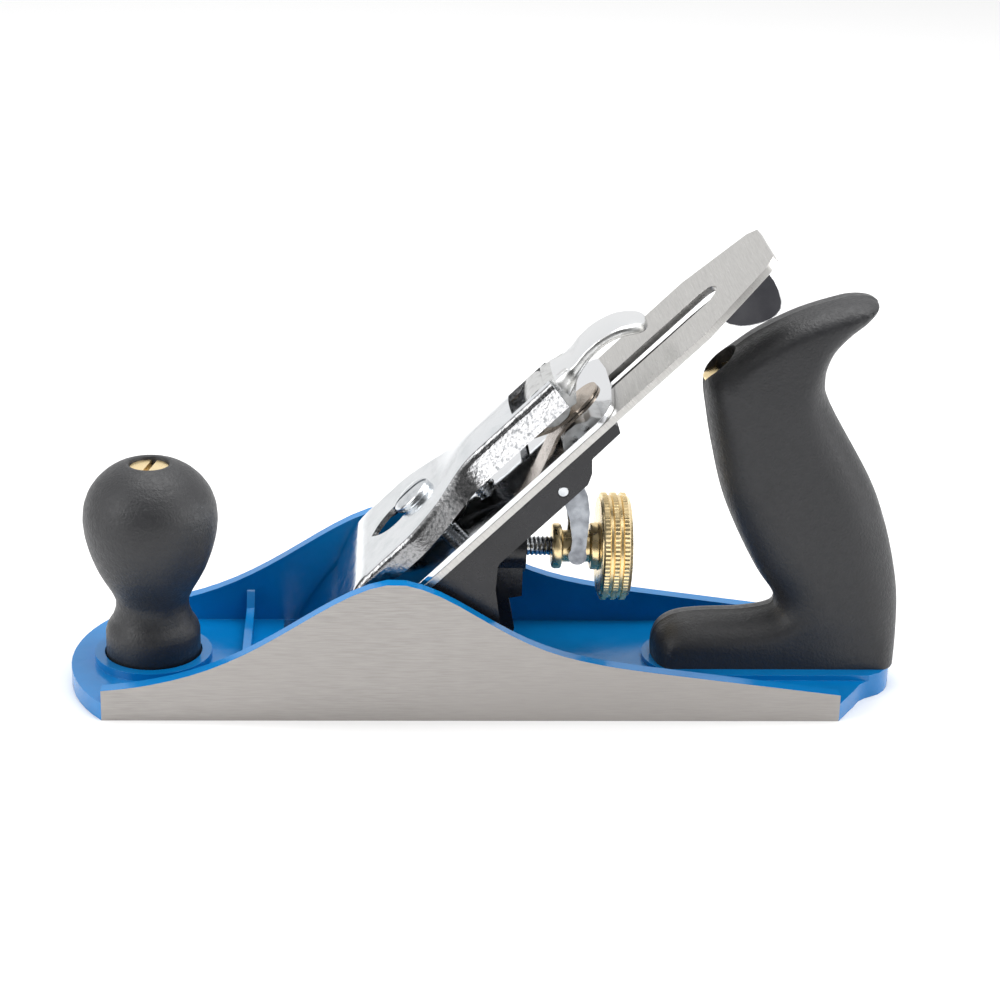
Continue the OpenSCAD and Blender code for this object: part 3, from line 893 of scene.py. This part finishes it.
def build_cap_iron_screw():
    """Low head under the iron and a threaded end that stands above the cap iron."""
    place = ON_BED @ Matrix.Translation((IRON_SCREW_S, 0, 0))
    verts, faces = lathe([(0.01, -2.65), (7.6, -2.65), (8.4, -2.1), (8.4, -0.02), (0.01, -0.02)], 64)
    head = add_piece("cap_iron_screw_head", placed(verts, place), faces, screw_steel, "cap_iron_screw")
    bevel(head, 0.3)
    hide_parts("cap_iron_screw")
    verts, faces = thread(3.25, 0.45, 1.0, -1, 5.45)
    shank = add_piece("cap_iron_screw_shank", placed(verts, place), faces, screw_steel, "cap_iron_screw")
    edge_angle_shading(shank, 60)


build_lever_cap()
build_cam_lever()
build_cam_pin()
build_cap_screw()
build_cap_iron_screw()

# Each shown node's edge rounding in millimetres, and its steps
EDGE_ROUND = {
    "frog": (0.9, 3), "frog_screws": (0.3, 2), "frog_washers": (0.2, 1),
    "yoke": (0.45, 2), "yoke_pin": (0.3, 2),
    "lateral_lever": (0.35, 2), "lateral_roller": (0.2, 2), "lateral_pivot": (0.1, 1),
    "cutting_iron": (0.12, 2), "cap_iron": (0.25, 2), "cap_spring": (0.2, 2), "spring_rivet": (0.3, 2),
    "knob_stud": (0.3, 1), "knob_nut": (0.3, 2), "tote_stud": (0.3, 1), "tote_nut": (0.3, 2),
}
for node, (width, segments) in EDGE_ROUND.items():
    soften(frame["nodes"][node], width, segments)
# The lateral lever's faces are painted dark as a painted reflection and its rounded edges bright as a
# painted highlight, and the yoke's plating is dull
lever, yoke = frame["nodes"]["lateral_lever"], frame["nodes"]["yoke"]
lever.data.materials[0] = make_lever_face_painted_dark()
lever.data.materials.append(MATERIAL["bright_chrome"])
# The rounded edges take the bright chrome, a painted highlight
lever.modifiers["bevel"].material = 1
yoke.data.materials[0] = make_yoke_steel()


# ---- Floor, light and camera ------------------------------------------------


def build_stage():
    """A plain pale floor, far larger than the view. Its size is in metres, like the lights'."""
    reach = 6.0
    mesh = bpy.data.meshes.new("floor")
    corners = [(-reach, -reach, 0), (reach, -reach, 0), (reach, reach, 0), (-reach, reach, 0)]
    mesh.from_pydata(corners, [], [(0, 1, 2, 3)])
    floor = linked_object("floor", mesh)
    pale = Shader("pale_floor", (0.93, 0.93, 0.93), 0.0, 0.9, Specular_IOR_Level=0.1)
    mesh.materials.append(pale.material)


def area_light(name, at, target, size, power):
    data = bpy.data.lights.new(name, "AREA")
    data.shape = "RECTANGLE"
    data.size, data.size_y = size
    data.energy = power
    light = linked_object(name, data)
    light.location = at
    light.rotation_euler = (Vector(target) - Vector(at)).to_track_quat("-Z", "Y").to_euler()


def build_lights():
    world = bpy.data.worlds.new("studio")
    bpy.context.scene.world = world
    world.use_nodes = True
    tree = world.node_tree
    background = tree.nodes["Background"]
    background.inputs["Strength"].default_value = 0.95
    # The studio is bright all round but for its unlit front
    coordinates = tree.nodes.new("ShaderNodeTexCoord")
    towards = tree.nodes.new("ShaderNodeVectorMath")
    towards.operation = "DOT_PRODUCT"
    towards.inputs[1].default_value = Vector((-0.15, -0.93, 0.34)).normalized()
    ramp = tree.nodes.new("ShaderNodeValToRGB")
    tree.links.new(coordinates.outputs["Generated"], towards.inputs[0])
    tree.links.new(towards.outputs["Value"], ramp.inputs["Fac"])
    tree.links.new(ramp.outputs["Color"], background.inputs["Color"])
    ramp.color_ramp.elements[0].position = 0.62
    ramp.color_ramp.elements[0].color = (1, 1, 1, 1)
    ramp.color_ramp.elements[1].position = 0.86
    ramp.color_ramp.elements[1].color = (0.14, 0.14, 0.14, 1)
    area_light("overhead", (0.1, 0.15, 1.1), (0, 0, 0.03), (1.1, 0.8), 9)
    area_light("left_side", (-1.0, -0.5, 0.6), (0, 0, 0.05), (0.6, 0.8), 5)
    area_light("right_side", (1.1, -0.4, 0.5), (0, 0, 0.05), (0.5, 0.7), 4)


def build_camera():
    """The camera stands at -Y, a little above the plane and slightly nearer its toe."""
    yaw, pitch, roll = (math.radians(a) for a in (3.917, 21.383, 1.828))
    distance, across, up = 710.7, 4.26, 52.17
    level_reach = math.cos(pitch)
    towards = Vector((math.sin(yaw) * level_reach, math.cos(yaw) * level_reach, -math.sin(pitch)))
    level = towards.cross(Vector((0, 0, 1))).normalized()
    above = level.cross(towards)
    right = math.cos(roll) * level + math.sin(roll) * above
    top = math.cos(roll) * above - math.sin(roll) * level
    data = bpy.data.cameras.new("camera")
    data.sensor_width = 36
    data.lens = 85.356
    camera = linked_object("camera", data)
    turn = Matrix((right, top, -towards)).transposed().to_4x4()
    at = -towards * distance + right * across + top * up
    camera.matrix_world = Matrix.Translation(at * MM) @ turn
    bpy.context.scene.camera = camera
    bpy.context.scene.view_settings.view_transform = "Standard"


build_stage()
build_lights()
build_camera()
